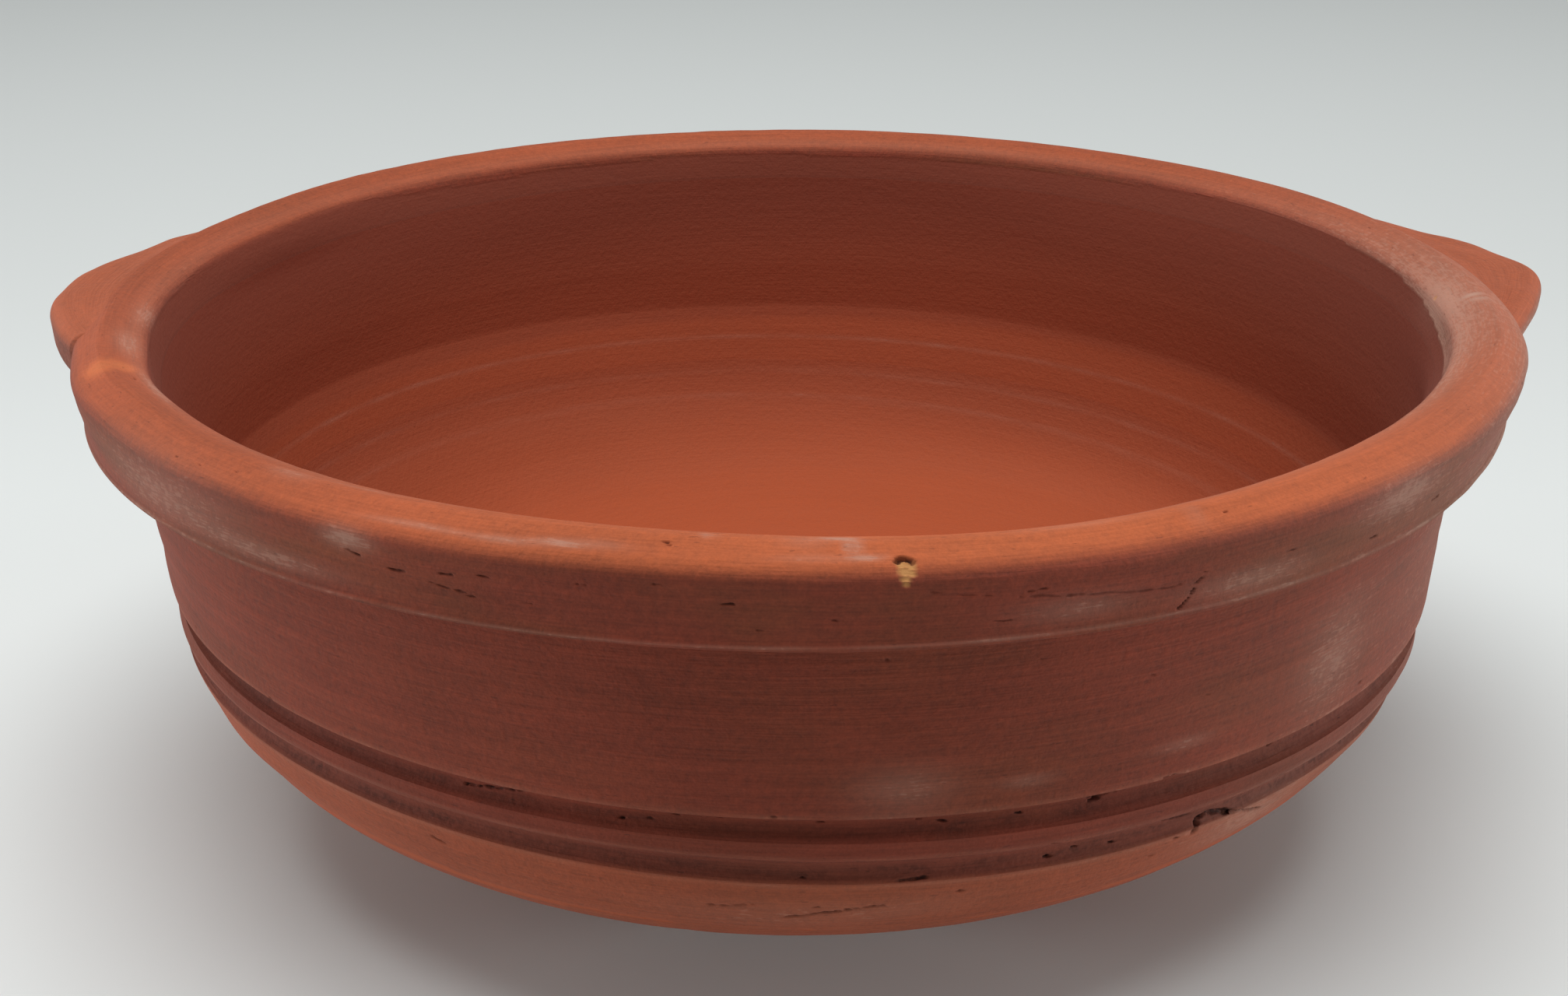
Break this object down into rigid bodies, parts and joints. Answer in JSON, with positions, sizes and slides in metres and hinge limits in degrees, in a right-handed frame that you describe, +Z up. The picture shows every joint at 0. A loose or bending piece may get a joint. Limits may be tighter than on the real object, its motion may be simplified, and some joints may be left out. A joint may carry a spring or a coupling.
{
  "type": "clay cooking pot",
  "caption": "Low open cooking pot of unglazed red clay with a thick rim collar, turned grooves low on the body, a rounded bottom with a flattened foot and a lug on each side.",
  "frame": {"origin": "centre of the flat foot, on the surface that the pot stands on", "axes": "+Z up out of the mouth, X across the two lugs with the right lug at +X, and +Y away from the viewer of the picture"},
  "size_m": [0.2698, 0.25, 0.098],
  "materials": {
    "fired_clay": "matte unglazed red earthenware with fine wheel lines, drag cracks and pale scuffs"
  },
  "bodies": {
    "root": {"bottom_dish": "fired_clay", "wall_ring": "fired_clay", "rim_collar": "fired_clay", "left_lug": "fired_clay", "right_lug": "fired_clay"}
  },
  "joints": []
}
